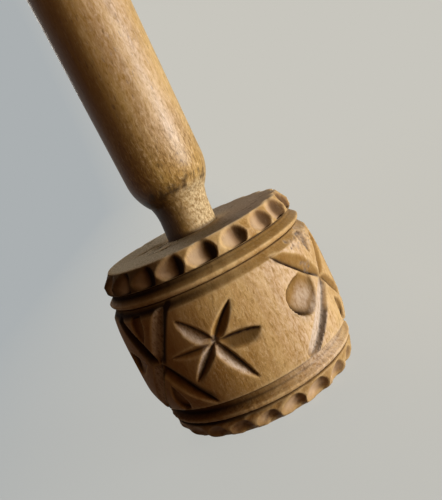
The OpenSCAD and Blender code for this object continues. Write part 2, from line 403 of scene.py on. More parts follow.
def stretches(turn, height, rows):
    """Share of the stretches of painted light or of painted shade, 0 to 1."""
    total = np.zeros_like(turn)
    for place, level, direction, start, end, shift, half, share in rows:
        u, v = on_band(turn, height, place, level, direction)
        along = smooth(start - 1.0, start + 1.8, u) * smooth(end + 1.0, end - 1.8, u)
        across = smooth(half * 1.35, half * 0.35, np.abs(v - shift))
        total = np.maximum(total, share * along * across)
    return total


def chips(turn, height):
    """Depth of small slanting chips in the side of the head."""
    depth = np.zeros_like(turn)
    for middle, level, spread, rise, count, size, deep in CHIPPED:
        for _ in range(count):
            place = rng.normal(middle, spread / 2)
            up = rng.normal(level, rise / 2)
            slant = rng.uniform(0, 2 * math.pi)
            reach = size * rng.uniform(0.6, 1.6)
            sunk = deep * rng.uniform(0.4, 1.2)
            across = np.radians(wrapped(turn - place)) * BAND_R
            along, aside = turned(across, height - up, slant)
            u = along / reach
            v = aside / (0.6 * reach)
            inside = np.clip(1.6 * (1 - np.maximum(np.abs(u), np.abs(v))), 0, 1)
            depth = np.maximum(depth, sunk * inside * (0.55 + 0.45 * u))
    return depth


def rosette_depth(turn, radius):
    """Depth of the leaf cuts of the rosette on the stamping face."""
    petals, start, *shape = ROSETTE
    depth = np.zeros_like(turn)
    for i in range(petals):
        swing = np.radians(turn - 90 - i * 360 / petals)
        u = radius * np.cos(swing) - start
        v = radius * np.sin(swing)
        depth = np.maximum(depth, leaf_depth(u, v, *shape))
    return depth


def top_scars(turn, radius):
    """Depth of the chips and dents in the flat top."""
    depth = np.zeros_like(turn)
    x = radius * np.sin(np.radians(turn))
    y = -radius * np.cos(np.radians(turn))
    spots = []
    for count, turns, reaches, depths in TOP_SCARS:
        for _ in range(count):
            spots.append((rng.uniform(*turns), rng.uniform(*reaches), rng.uniform(*depths)))
    for place, out, deep in spots:
        swing = math.radians(place)
        along = rng.uniform(0.7, 1.5)
        across = rng.uniform(0.25, 0.5)
        slant = rng.uniform(-0.5, 0.5) + 0.45
        dx = x - out * math.sin(swing)
        dy = y + out * math.cos(swing)
        u, v = turned(dx, dy, slant)
        depth = depth + deep * np.exp(-((u / along) ** 2) - (v / across) ** 2)
    return depth


def scooped(radius, height, turn, scoops):
    """Moves a rim's points towards the point inside the wood, on to the surface of each scoop. Also
    gives how far each point went, and its share in a scoop's steep end."""
    count, first, gouge, out, ball_z, (anchor_r, anchor_z) = scoops
    keep = np.ones(radius.shape)
    steep = np.zeros(radius.shape)
    dr = radius - anchor_r
    dz = height - anchor_z
    for i in range(count):
        # each scoop is a little off its place, its size and its depth
        place = first + i * 360 / count + rng.uniform(-0.9, 0.9)
        size = gouge * (1 + rng.uniform(-0.04, 0.03))
        ball_r = RIM_R + out + rng.uniform(-0.2, 0.15)
        level = ball_z + rng.uniform(-0.15, 0.15)
        away = wrapped(turn - place)
        # the scoop's middle seen from each column's own plane
        along = ball_r * np.cos(np.radians(away))
        aside = ball_r * np.sin(np.radians(away)) * np.where(away < 0, SCOOP_EASE, SCOOP_STEEP)
        a = dr * dr + dz * dz
        b = dr * (anchor_r - along) + dz * (anchor_z - level)
        c = (anchor_r - along) ** 2 + (anchor_z - level) ** 2 + aside ** 2 - size ** 2
        root = b * b - a * c
        share = (-b - np.sqrt(np.maximum(root, 0))) / a
        hit = (root > 0) & (share > 0) & (share < 1) & (np.abs(away) < SCOOP_REACH)
        keep = np.where(hit, np.minimum(keep, share), keep)
        inside = smooth(0.0, 0.05, 1 - share)
        steep = np.where(hit, np.maximum(steep, smooth(-1.7, 1.5, aside) * inside), steep)
    return anchor_r + dr * keep, anchor_z + dz * keep, 1 - keep, steep


# Meshes
def grid_points(radius, turn, height):
    """Points of a grid that is given by radius, turn and height."""
    swing = np.radians(turn)
    return np.stack([radius * np.sin(swing), -radius * np.cos(swing), height], axis=2)


def ring_faces(low, high, columns, flip=False):
    """Faces between two rings of points, given by their first points. Flip turns the faces over."""
    faces = []
    for j in range(columns):
        k = (j + 1) % columns
        if flip:
            faces.append((low + j, high + j, high + k, low + k))
        else:
            faces.append((low + j, low + k, high + k, high + j))
    return faces


def grid_mesh(name, points):
    """Mesh of a closed grid whose first and last rows are single points on the axis."""
    rows, columns, _ = points.shape
    inner = points[1:-1].reshape(-1, 3)
    vertices = np.vstack([points[:1, 0], inner, points[-1:, 0]]) * MM
    last = len(vertices) - 1
    faces = []
    for i in range(rows - 3):
        low = 1 + i * columns
        faces.extend(ring_faces(low, low + columns, columns))
    top = 1 + (rows - 3) * columns
    for j in range(columns):
        k = (j + 1) % columns
        faces.append((0, 1 + k, 1 + j))
        faces.append((last, top + j, top + k))
    return smooth_mesh(name, vertices.tolist(), faces)


def smooth_mesh(name, vertices, faces):
    """Mesh with smooth shading."""
    mesh = bpy.data.meshes.new(name)
    mesh.from_pydata(vertices, [], faces)
    mesh.polygons.foreach_set("use_smooth", [True] * len(mesh.polygons))
    mesh.update()
    return mesh


def add_object(name, data):
    """New object in the scene."""
    made = bpy.data.objects.new(name, data)
    scene.collection.objects.link(made)
    return made


def add_values(mesh, looks):
    """Stores grids of values on a grid's mesh, by name, for its material."""
    for name, grid in looks.items():
        values = np.concatenate([[grid[0].mean()], grid[1:-1].ravel(), [grid[-1].mean()]])
        layer = mesh.attributes.new(name, "FLOAT", "POINT")
        layer.data.foreach_set("value", values.astype(np.float32))


def hollows(points, rounds):
    """How far each point lies under (+) or over (-) its smoothed surroundings, in mm."""
    soft = points.copy()
    for _ in range(rounds):
        around = (np.roll(soft, 1, axis=1) + np.roll(soft, -1, axis=1)) / 2
        soft[1:-1] = 0.5 * soft[1:-1] + 0.25 * around[1:-1] + 0.125 * (soft[2:] + soft[:-2])
    along = np.gradient(points, axis=0)
    aside = (np.roll(points, -1, axis=1) - np.roll(points, 1, axis=1)) / 2
    normal = np.cross(aside, along)
    normal /= np.maximum(np.linalg.norm(normal, axis=2, keepdims=True), 1e-9)
    return ((soft - points) * normal).sum(axis=2)


# Head
def band_radius(height):
    """Radius of the barrel-shaped band."""
    middle = (BAND_LOW + BAND_HIGH) / 2
    half = (BAND_HIGH - BAND_LOW) / 2
    return BAND_R - BAND_FALL * abs((height - middle) / half) ** BAND_POWER


def head_profile():
    """Rows of the turned head, from the middle of the stamping face to the socket's floor, as
    radius, height and a word for the stretch they lie on."""
    rows = [(0.0, 0.0, "face")]

    def run(radius, height, steps, word):
        """Adds a straight stretch that ends at a radius and height."""
        start_r, start_z, _ = rows[-1]
        for i in range(1, steps + 1):
            t = i / steps
            rows.append((start_r + (radius - start_r) * t, start_z + (height - start_z) * t, word))

    def swell(radius, height, out, drop, steps, word):
        """Adds a quarter of an oval that starts below a point and ends at its widest beside it."""
        for a in np.linspace(math.pi / 2, 0, steps + 1)[1:]:
            rows.append((radius + out * math.cos(a), height - drop * math.sin(a), word))

    def bead(end, level, out, drop, cove_levels, groove_z):
        """Adds a bead with its cove and groove."""
        swell(BEAD_ROOT_R, level, out, drop, 6, end + "_bead")
        for radius, height, steps in zip(COVE_R, cove_levels, (4, 4, 3)):
            run(radius, height, steps, end + "_cove")
        run(GROOVE_R, groove_z, 1, "groove")

    run(RING_R - RING_W / 2, 0.0, 26, "face")
    run(RING_R, RING_DEPTH, 3, "ring")
    run(RING_R + RING_W / 2, 0.0, 3, "ring")
    swell(BASE_EDGE_R, BASE_ROUND, RIM_R - BASE_EDGE_R, BASE_ROUND, 15, "base_rim")
    run(RIM_R, BASE_RIM_H, 6, "base_rim")
    run(*BASE_GROOVE)
    bead("base", *BASE_BEAD)
    run(*BAND_FOOT)
    for low, high, steps in ((BAND_LOW, BAND_START, 2), (BAND_START, BAND_HIGH, 78)):
        rows.extend((band_radius(z), z, "band") for z in np.linspace(low, high, steps + 1)[1:])
    for stretch in BEVEL:
        run(*stretch)
    bead("top", *TOP_BEAD)
    for stretch in TOP_RIM:
        run(*stretch)
    run(SOCKET_R + SOCKET_CHAMFER, HEAD_H, 18, "top")
    run(SOCKET_R, HEAD_H - SOCKET_CHAMFER, 1, "socket")
    run(SOCKET_R, SOCKET_FLOOR, 3, "socket")
    run(0.0, SOCKET_FLOOR, 3, "socket")
    return rows


class Head:
    """Grid of the head, with its rows along the turned outline and its columns round the axis."""

    def __init__(self):
        rows = head_profile()
        front = np.linspace(-FRONT_TURN, FRONT_TURN, FRONT_COLUMNS, endpoint=False)
        back = np.linspace(FRONT_TURN, 360 - FRONT_TURN, BACK_COLUMNS, endpoint=False)
        columns = np.concatenate([front, back])
        ones = np.ones((len(rows), len(columns)))
        self.words = np.array([word for _, _, word in rows])
        self.turn = columns * ones
        self.side = wrapped(self.turn)
        self.radius = np.array([radius for radius, _, _ in rows])[:, None] * ones
        self.height = np.array([height for _, height, _ in rows])[:, None] * ones
        self.level_top = self.on("top", "top_rim") & np.isclose(self.height[:, 0], HEAD_H)
        self.uneven = wobble(self.turn, self.height, 9, 7)
        self.shaded = smooth(*SHADED_FRONT, self.side) * smooth(*SHADED_BACK, self.side)
        self.cut, self.chipped, self.scoop, self.steep = np.zeros((4, *ones.shape))

    @property
    def flat(self):
        """Which points lie on the flat top, outside its scoops."""
        return (self.scoop == 0) & self.level_top[:, None]

    @property
    def open_scoop(self):
        """Share of the scoops outside their steep ends."""
        return np.clip(self.scoop * 9, 0, 1) * (1 - self.steep)

    def on(self, *words):
        """Which rows lie on the named stretches."""
        return np.isin(self.words, words)

    def at(self, rows):
        """Turns and heights of some rows."""
        return self.turn[rows], self.height[rows]

    def share(self, *words):
        """The rows of the named stretches as a column of ones and zeros."""
        return self.on(*words)[:, None] * 1.0

    def turn_unevenly(self):
        """The turner's unevenness, and the base and the top's edge turned small."""
        rows = self.on("band", "bevel", "groove", "base_bead", "base_cove", "top_bead", "top_cove")
        self.radius[rows] -= TURNING_ERROR * (1 + self.uneven[rows])
        low = smooth(BAND_LOW + 5.0, BAND_LOW - 2.0, self.height)
        high = smooth(HEAD_H - 2.5, HEAD_H, self.height)
        left = 1 - np.sin(np.radians(self.turn))
        small = BASE_SMALL * low + left * (LEFT_BASE_SMALL * low + LEFT_TOP_SMALL * high)
        self.radius *= 1 - small * smooth(8.0, 17.0, self.radius)

    def carve_band(self):
        """Stars, crosses and thumbnail cuts, and the chips round them."""
        rows = self.on("band", "bevel")
        fade = smooth(BAND_HIGH + 1.2, BAND_HIGH + 0.1, self.height[rows])
        self.cut[rows] = band_depth(*self.at(rows)) * fade
        rows = self.on("band", "bevel", "base_cove", "base_bead", "top_bead")
        self.chipped[rows] = chips(*self.at(rows))
        self.radius -= self.cut + self.chipped

    def wear_beads(self):
        """A worn lower bead, and fine nicks in the upper bead and the band's bevel."""
        rows = self.on("base_bead", "base_cove") & (self.height[:, 0] < BEAD_WORN_Z)
        turn, height = self.at(rows)
        nicks = dents(turn, 2.3) + 0.6 * dents(turn, 1.2)
        rough = row_noise(turn + 9.0 * height, 1.6) + row_noise(turn - 7.0 * height, 1.1)
        gone = BEAD_NICKS * nicks * (0.6 + 0.4 * self.uneven[rows]) + BEAD_ROUGH * (2 + rough)
        self.radius[rows] -= gone * smooth(BEAD_WORN_Z, BEAD_WORN_Z - 1.2, height)
        for rows, step in ((self.on("top_bead", "top_cove"), 3.0), (self.on("bevel"), 4.0)):
            self.radius[rows] -= EDGE_NICKS * dents(self.turn[rows], step)

    def scoop_rims(self):
        """Gouge scoops round both rims. The painted shade of their steep ends shows less on the right
        and on the base.
        """
        for word, scoops in (("base_rim", BASE_SCOOPS), ("top_rim", TOP_SCOOPS)):
            rows = self.on(word)
            made = scooped(self.radius[rows], self.height[rows], self.turn[rows], scoops)
            self.radius[rows], self.height[rows], self.scoop[rows], self.steep[rows] = made
        self.steep *= 1 - 0.5 * smooth(8, 45, self.side)
        self.steep[self.on("base_rim")] *= 0.28

    def notch_base(self):
        """The chewed lower edge of the base, raised at each scoop."""
        rows = self.on("base_rim")
        turn, height = self.at(rows)
        chewed = row_noise(turn + 3.0 * height, 6.0) + row_noise(turn - 4.0 * height, 4.0)
        outer = smooth(BASE_EDGE_R, BASE_EDGE_R + 1.7, self.radius[rows])
        self.radius[rows] -= BASE_CHEWED * (1 + chewed) * outer
        count, first = BASE_SCOOPS[:2]
        wave = np.cos(np.radians(count * (turn - first)))
        edge = smooth(2.6, 0.3, height) * smooth(BASE_EDGE_R, BASE_EDGE_R + 1.1, self.radius[rows])
        self.height[rows] += BASE_NOTCH * smooth(-0.5, 0.9, wave) * edge

    def cut_ends(self):
        """The rosette of the stamping face, and the scars of the flat top."""
        rows = self.on("face", "ring")
        self.height[rows] += rosette_depth(self.turn[rows], self.radius[rows])
        scars = top_scars(self.turn, self.radius) + TOP_ROUGH * (1 + self.uneven)
        self.height -= np.where(self.flat, scars, 0)

    def points(self):
        """Points of the finished head. The mouth of the socket follows the leaning handle."""
        points = grid_points(self.radius, self.turn, self.height)
        rows = self.on("top", "socket")
        points[rows, :, 0] += lean(self.height[rows]) * smooth(14.0, 7.0, self.radius[rows])
        return points

    def looks(self, points):
        """Shares that the material reads, by name."""
        fine = hollows(points, 6)
        broad = hollows(points, 40)
        return {
            # dirt, and painted shade in the hollows and grooves
            "grime_and_shade": self.grime_and_shade(fine, broad),
            # painted black shade
            "black_shade": self.black_shade(),
            # painted brown shade, and darker brown low on the head
            "brown_shade": self.brown_shade(),
            "wear": 0.7 * np.clip(-fine / 0.07, 0, 1) + 0.3 * np.clip(-broad / 0.5, 0, 1),
            "end_grain": np.maximum(self.flat, self.share("face")),
            "cut_wood": np.clip(self.cut / 0.4, 0, 1),
            # the scoops painted pale as lit walls
            "scooped": self.open_scoop,
            # painted light on the cut walls, paler wood in chips, painted sheen on the lower bead
            "pale": self.pale(),
            # painted sheen
            "painted_sheen": self.painted_sheen(),
            "nicked": self.nicked(),
            "dull": self.dull(),
        }

    def on_cuts(self, rows):
        """Share of a table's stretches of the band's cuts, painted light or painted shade."""
        part = self.on("band", "bevel")
        total = np.zeros_like(self.radius)
        total[part] = stretches(*self.at(part), rows)
        return total

    def grime_and_shade(self, fine, broad):
        """Dirt and painted shade in the hollows and the grooves, less of it on the base."""
        sunk = 0.75 * np.clip(fine / 0.08, 0, 1) + 0.5 * np.clip(broad / 0.45, 0, 1)
        sunk += 0.35 * self.share("groove")
        sunk[self.on("base_rim")] *= 0.45
        return np.clip(sunk, 0, 1.2)

    def black_shade(self):
        """Painted black shade at the scoops' steep ends, along stretches of the cuts, and in the
        crevices and on the upper ridges of the shaded side."""
        crevice = np.max([bell(self.height, *crevice) for crevice in CREVICES], axis=0)
        crevice *= smooth(*CREVICE_TURNS, self.side) * smooth(*SHADED_BACK, self.side)
        crevice *= self.radius > CREVICE_R
        ridge = self.share("top_rim") * (1 - self.open_scoop) * (1 - self.flat) * self.shaded
        return np.clip(self.steep + self.on_cuts(SHADE_STRETCHES) + crevice + 0.75 * ridge, 0, 1)

    def brown_shade(self):
        """Painted brown shade on the shaded side and where the scoops turn steep, and darker brown
        low on the head.
        """
        shaded = self.shaded * (1 - 0.5 * self.open_scoop)
        low_down = 0.3 * smooth(10.0, 8.0, self.height) * smooth(0.0, 4.0, self.height)
        turning = 2.4 * self.steep * (1 - self.steep)
        return np.clip(shaded + low_down + turning, 0, 1)

    def pale(self):
        """Painted light on lit stretches of the cuts, paler wood in chips, and painted sheen on the
        right of the lower bead.
        """
        worn = self.on_cuts(LIT_STRETCHES) * np.clip(self.cut / 0.15, 0, 1)
        chipped = np.clip(self.chipped / 0.4, 0, 0.3)
        share, middle, spread = BEAD_SHEEN
        bead_sheen = share * self.share("base_bead", "base_cove") * bell(self.side, middle, spread)
        return np.clip(worn + chipped + bead_sheen, 0, 1)

    def painted_sheen(self):
        """Painted sheen on the uncut band, and a little on the lower bead."""
        rubbed = self.share("band") + 0.6 * self.share("base_bead", "base_cove")
        return rubbed * bell(self.side, *HEAD_SHEEN) * (self.cut < 0.05)

    def nicked(self):
        """Knife nicks round the socket, on the left of the flat top."""
        near = smooth(13.5, 10.5, self.radius)
        left = smooth(-125, -95, self.turn) * smooth(-10, -40, self.turn)
        return np.where(self.flat, near * left, 0)

    def dull(self):
        """Darker ledges of the turned grooves, and of the base between its scoops."""
        ledge = self.share("bevel", "groove", "top_cove") * np.ones_like(self.radius)
        base = self.on("base_rim")
        ledge[base] = 0.55 * (1 - self.open_scoop[base])
        for _ in range(2):
            ledge[1:-1] = 0.5 * ledge[1:-1] + 0.25 * (ledge[2:] + ledge[:-2])
        return ledge


def make_head():
    """The carved head."""
    head = Head()
    head.turn_unevenly()
    head.carve_band()
    head.wear_beads()
    head.scoop_rims()
    head.notch_base()
    head.cut_ends()
    points = head.points()
    mesh = grid_mesh("carved_head", points)
    add_values(mesh, head.looks(points))
    return add_object("carved_head", mesh)


# Handle
def arc_radius(half, drop):
    """Radius of the arc that falls by drop over a half chord."""
    return (half * half + drop * drop) / (2 * drop)


def arc_drop(along, radius):
    """Fall of an arc at a distance from its top."""
    return radius - math.sqrt(radius * radius - along * along)


def between_stations(z, low, high):
    """Cubic between two stations, each a height, a radius and a slope."""
    start, start_r, start_slope = low
    end, end_r, end_slope = high
    span = end - start
    t = (z - start) / span
    bow = span * t * (1 - t) * (start_slope * (1 - t) - end_slope * t)
    return start_r * (1 + 2 * t) * (1 - t) ** 2 + end_r * t * t * (3 - 2 * t) + bow


def handle_radius(z):
    """Radius of the turned handle."""
    if z <= NECK_TOP_Z:
        rise = max(0.0, z - NECK_TOP_Z + NECK_FLARE)
        return NECK_R + arc_drop(rise, arc_radius(NECK_FLARE, NECK_TOP_R - NECK_R))
    if z <= SHOULDER_Z:
        curve = arc_radius(SHOULDER_Z - NECK_TOP_Z, SHOULDER_R - NECK_TOP_R)
        return SHOULDER_R - arc_drop(SHOULDER_Z - z, curve)
    for low, high in zip(GRIP, GRIP[1:]):
        if z <= high[0]:
            return between_stations(z, low, high)
    round_z = HANDLE_TOP - END_ROUND
    curve = arc_radius(SWELL_Z - SHOULDER_Z, SWELL_R - SHOULDER_R)
    grip = SWELL_R - arc_drop(min(z, round_z) - SWELL_Z, curve)
    if z <= round_z:
        return grip
    return grip - arc_drop(min(z - round_z, END_ROUND), END_ROUND)


def handle_profile():
    """Heights and radii of the handle's rows, from the tenon's end to the middle of the free end."""
    stops = (
        (HEAD_H - 0.5, 4),
        (NECK_TOP_Z - 0.7, 19),
        (NECK_TOP_Z + 0.9, 9),
        (SHOULDER_Z, 11),
        (HANDLE_TOP - END_ROUND, 69),
    )
    levels = [TENON_Z, TENON_Z]
    for stop, steps in stops:
        levels.extend(np.linspace(levels[-1], stop, steps + 1)[1:])
    for a in np.linspace(0, math.pi / 2, 12)[1:]:
        levels.append(HANDLE_TOP - END_ROUND + END_ROUND * math.sin(a))
    radii = [handle_radius(z) for z in levels]
    radii[0] = 0.0
    end_r = radii[-1]
    for share in (0.66, 0.33, 0.0):
        levels.append(HANDLE_TOP)
        radii.append(end_r * share)
    return levels, radii


def cut_kerf(piece):
    """Saws the wedge's seat and the kerf out of the tenon."""
    tip = KERF_W / 2
    base = WEDGE_SEAT_W / 2
    low = TENON_Z - 1.0
    right = [(base, low), (base, TENON_Z), (tip, TENON_Z + WEDGE_L), (tip, TENON_Z + KERF_L)]
    outline = [(-base, low)] + right + [(-x, z) for x, z in reversed(right[1:])]
    reach = 2 * NECK_R
    vertices = [(x * MM, y * MM, z * MM) for y in (-reach, reach) for x, z in outline]
    count = len(outline)
    faces = [tuple(range(count)), tuple(reversed(range(count, 2 * count)))]
    faces.extend(ring_faces(0, count, count, flip=True))
    mesh = bpy.data.meshes.new("kerf")
    mesh.from_pydata(vertices, [], faces)
    mesh.update()
    cutter = add_object("kerf", mesh)
    saw = piece.modifiers.new("kerf", "BOOLEAN")
    saw.operation = "DIFFERENCE"
    saw.solver = "EXACT"
    saw.object = cutter
    bpy.context.view_layer.update()
    done = piece.evaluated_get(bpy.context.evaluated_depsgraph_get())
    sawn = bpy.data.meshes.new_from_object(done)
    piece.modifiers.clear()
    piece.data = sawn
    bpy.data.objects.remove(cutter)


def handle_looks(turn, height, torn):
    """Shares that the handle's material reads, by name."""
    # the finish ends in a ragged dark line, and below it the neck is raw on the right
    edge = NECK_TOP_Z + 2.1 * smooth(-75, -5, turn) * smooth(178, 110, turn)
    raw = smooth(edge + 1.0, edge - 1.0, height + 0.7 * wobble(turn, height, 6, 9))
    ragged = np.clip(row_noise(turn, 7.0) + 0.7 * row_noise(turn, 2.5), 0, 1)
    line = torn * bell(height, edge, 0.42)
    line += 0.9 * ragged * bell(height, edge + 1.5 - 0.5 * torn, 0.6)
    line += 0.5 * ragged * bell(height, edge - 1.2 + 0.4 * torn, 0.3)
    left = 0.5 + 0.5 * np.cos(np.radians(turn + 75))
    # painted shade where the neck meets the head, and on the left of the neck and shoulder
    seat = 0.8 * smooth(HEAD_H + 1.1, HEAD_H + 0.05, height)
    neck = 0.9 * smooth(NECK_TOP_Z + 8.0, NECK_TOP_Z - 1.0, height) * smooth(0.5, 0.95, left)
    above = 0.2 + 0.8 * smooth(SHOULDER_Z - 4.0, SHOULDER_Z + 9.0, height)
    return {
        # painted shade on the handle's left side
        "brown_shade": smooth(-4, -74, turn) * smooth(-180, -150, turn),
        # painted sheen on the right
        "painted_sheen": above * bell(turn, *GRIP_SHEEN),
        "speckled": smooth(74, 55, height),
        "raw_wood": raw * (1 - smooth(0.38, 0.85, left)),
        "grime_and_shade": np.clip(line + seat + neck, 0, 1),
    }


def make_handle():
    """The turned handle with its neck and tenon."""
    levels, radii = handle_profile()
    ones = np.ones((len(levels), HANDLE_COLUMNS))
    turn = np.linspace(-180, 180, HANDLE_COLUMNS, endpoint=False) * ones
    height = np.array(levels)[:, None] * ones
    radius = np.array(radii)[:, None] * ones

    free = smooth(HEAD_H + 0.3, HEAD_H + 3.0, height)
    radius *= 1 - HANDLE_UNEVEN * free * (1 + wobble(turn, height * 0.25, 8, 4))
    torn = np.clip(0.5 + row_noise(turn, 9.0) + 0.5 * row_noise(turn, 3.6), 0, 1)
    radius += LIP_OUT * torn * bell(height, NECK_TOP_Z + 0.1, 0.32)
    radius -= LIP_TORN * torn * bell(height, NECK_TOP_Z - 0.45, 0.35)

    points = grid_points(radius, turn, height)
    points[:, :, 0] += lean(height)
    mesh = grid_mesh("turned_handle", points)
    add_values(mesh, handle_looks(turn, height, torn))
    piece = add_object("turned_handle", mesh)
    cut_kerf(piece)
    return piece


# Materials
class Shader:
    """Adds nodes to a material and joins them. Its colour is built up in layers."""

    def __init__(self, name):
        self.material = bpy.data.materials.new(name)
        self.material.use_nodes = True
        self.tree = self.material.node_tree
        self.principled = self.tree.nodes["Principled BSDF"]
        self.place = self.add("ShaderNodeTexCoord").outputs["Object"]
        self.colour = None

    def add(self, kind, inputs=None, **settings):
        """Adds a node with its settings and inputs."""
        made = self.tree.nodes.new(kind)
        for key, value in settings.items():
            setattr(made, key, value)
        for key, value in (inputs or {}).items():
            self.join(made.inputs[key], value)
        return made

    def join(self, socket, value):
        """Links an output to a socket, or sets a constant."""
        if isinstance(value, bpy.types.NodeSocket):
            self.tree.links.new(value, socket)
        else:
            socket.default_value = value

    def noise(self, stretch, scale, detail=3.0, rough=0.55, twist=0.0):
        """Noise over the piece. A stretch below 1 draws it out along the stamp's axis."""
        place = self.add("ShaderNodeMapping", {"Vector": self.place, "Scale": (1, 1, stretch)})
        inputs = {"Vector": place.outputs[0], "Scale": scale, "Detail": detail}
        inputs.update({"Roughness": rough, "Distortion": twist})
        return self.add("ShaderNodeTexNoise", inputs).outputs["Fac"]

    def between(self, value, low, high, top=1.0, bottom=0.0):
        """Maps low to high on to bottom to top."""
        inputs = {"Value": value, "From Min": low, "From Max": high, "To Min": bottom, "To Max": top}
        return self.add("ShaderNodeMapRange", inputs).outputs["Result"]

    def math(self, operation, a, b):
        """Sum, product or the like."""
        return self.add("ShaderNodeMath", {0: a, 1: b}, operation=operation).outputs[0]

    def length(self, vector):
        """Length of a vector."""
        return self.add("ShaderNodeVectorMath", {0: vector}, operation="LENGTH").outputs["Value"]

    def mix(self, share, a, b):
        """Colour a with a share of colour b, each an output or a screen colour."""
        made = self.add("ShaderNodeMix", data_type="RGBA")
        self.join(made.inputs[0], share)
        self.join(made.inputs[6], linear(a))
        self.join(made.inputs[7], linear(b))
        return made.outputs[2]

    def part(self, word, share):
        """A share of a value that is stored on the mesh."""
        stored = self.add("ShaderNodeAttribute", attribute_name=word).outputs["Fac"]
        return self.math("MULTIPLY", stored, share)

    def layer(self, tint, share, noise=None, low=0.0, high=1.0, word=None, least=0.0):
        """Lays a share of a tint over the colour. It grows from the least as a noise goes from low to
        high, and follows a stored value, where these are given."""
        if noise is not None:
            share = self.between(noise, low, high, share, least)
        if word is not None:
            share = self.part(word, share)
        self.colour = self.mix(share, self.colour, tint)

    def rings(self, pith, spacing):
        """Growth rings round a pith line that runs beside the stamp's axis, 0 to 1."""
        inputs = {"Vector": self.place, "Location": pith, "Scale": (1, 1, 0.02)}
        reach = self.length(self.add("ShaderNodeMapping", inputs).outputs[0])
        bend = self.noise(0.15, 45, 2.0)
        shifted = self.math("ADD", reach, self.math("MULTIPLY", bend, spacing * 1.6))
        wave = self.math("SINE", self.math("MULTIPLY", shifted, 2 * math.pi / spacing), 0.0)
        return self.between(wave, -1.0, 1.0)

    def bump(self, height, strength, distance, under=None):
        """Bumps, over other bumps if they are given."""
        inputs = {"Height": height, "Strength": strength, "Distance": distance}
        if under is not None:
            inputs["Normal"] = under
        return self.add("ShaderNodeBump", inputs).outputs[0]

    def surface(self, word, value):
        """Sets or joins one input of the surface."""
        self.join(self.principled.inputs[word], value)

    def finish(self, roughness, normal):
        """Joins the colour, roughness and bumps to the surface."""
        self.surface("Base Color", self.colour)
        self.surface("Roughness", roughness)
        self.surface("Normal", normal)
        return self.material


def end_grain(s):
    """Greyed end grain of the flat top, browner on the right."""
    pores = s.noise(1, 1900, rough=0.65)
    colour = s.mix(s.between(pores, 0.38, 0.62), (160, 146, 122), (218, 204, 178))
    where = s.add("ShaderNodeSeparateXYZ", {0: s.place}).outputs
    return s.mix(s.between(where["X"], -0.004, 0.012, 0.6), colour, (136, 98, 58))


def carved_wood():
    """Honey-brown carved wood with dirt and painted shade in its cuts, worn pale edges, and painted
    light and sheen.
    """
    s = Shader("carved_wood")
    blotch = s.noise(0.6, 70)
    rings = s.rings((0.034, 0.012, 0), 0.0034)
    streak = s.noise(0.06, 620, rough=0.6)
    fleck = s.noise(0.34, 2100, 4.0, 0.7, 0.6)
    speck = s.noise(0.6, 3200, 2.0, 0.5)
    patch = s.noise(1, 420)
    nick = s.noise(1, 1300, 2.0, 0.6, 1.0)

    # the wood itself
    s.colour = s.mix(s.between(blotch, 0.32, 0.68), (160, 116, 54), (202, 164, 104))
    s.layer((150, 104, 46), 0.28, rings, 0.2, 1.0)
    s.layer((132, 92, 38), 0.4, streak, 0.5, 0.7)
    s.layer((112, 76, 32), 0.52, fleck, 0.53, 0.68)
    s.layer((224, 191, 140), 0.42, fleck, 0.46, 0.32)
    s.layer((222, 192, 146), 0.35, speck, 0.58, 0.72)
    # carving, with the scoops painted pale as lit walls, painted brown shade, and darker ledges
    s.layer((122, 84, 32), 0.6, word="cut_wood")
    # the scoops painted pale as lit walls
    s.layer((222, 188, 150), 0.7, word="scooped")
    # painted brown shade
    s.layer((112, 56, 12), 0.55, word="brown_shade")
    s.layer((104, 76, 36), 0.55, word="dull")
    s.layer(end_grain(s), 0.9, word="end_grain")
    # wear and dirt, with painted shade, painted light and painted sheen
    s.layer((218, 184, 132), 0.5, patch, 0.25, 0.6, "wear")
    # dirt, and painted shade in the hollows and grooves
    s.layer((30, 13, 4), 0.9, patch, 0.25, 0.6, "grime_and_shade", 0.65)
    # painted black shade
    s.layer((24, 7, 1), 0.97, word="black_shade")
    # painted light on the cut walls, paler wood in chips, painted sheen on the lower bead
    s.layer((216, 194, 170), 0.95, fleck, 0.76, 0.42, "pale")
    # painted sheen
    s.layer((224, 196, 170), 0.55, fleck, 0.62, 0.4, "painted_sheen")
    s.layer((206, 184, 152), 0.8, nick, 0.54, 0.62, "nicked")
    s.layer((44, 28, 14), 0.8, nick, 0.46, 0.38, "nicked")

    normal = s.bump(fleck, 0.35, 0.0003)
    normal = s.bump(s.noise(0.4, 360), 0.22, 0.0005, normal)
    roughness = s.between(blotch, 0.2, 0.8, 0.52, 0.36)
    for word, share in (("grime_and_shade", 0.18), ("end_grain", 0.3), ("brown_shade", 0.2), ("black_shade", 0.3)):
        roughness = s.math("ADD", roughness, s.part(word, share))
    s.surface("IOR", 1.22)
    s.surface("Specular IOR Level", 0.36)
    return s.finish(roughness, normal)


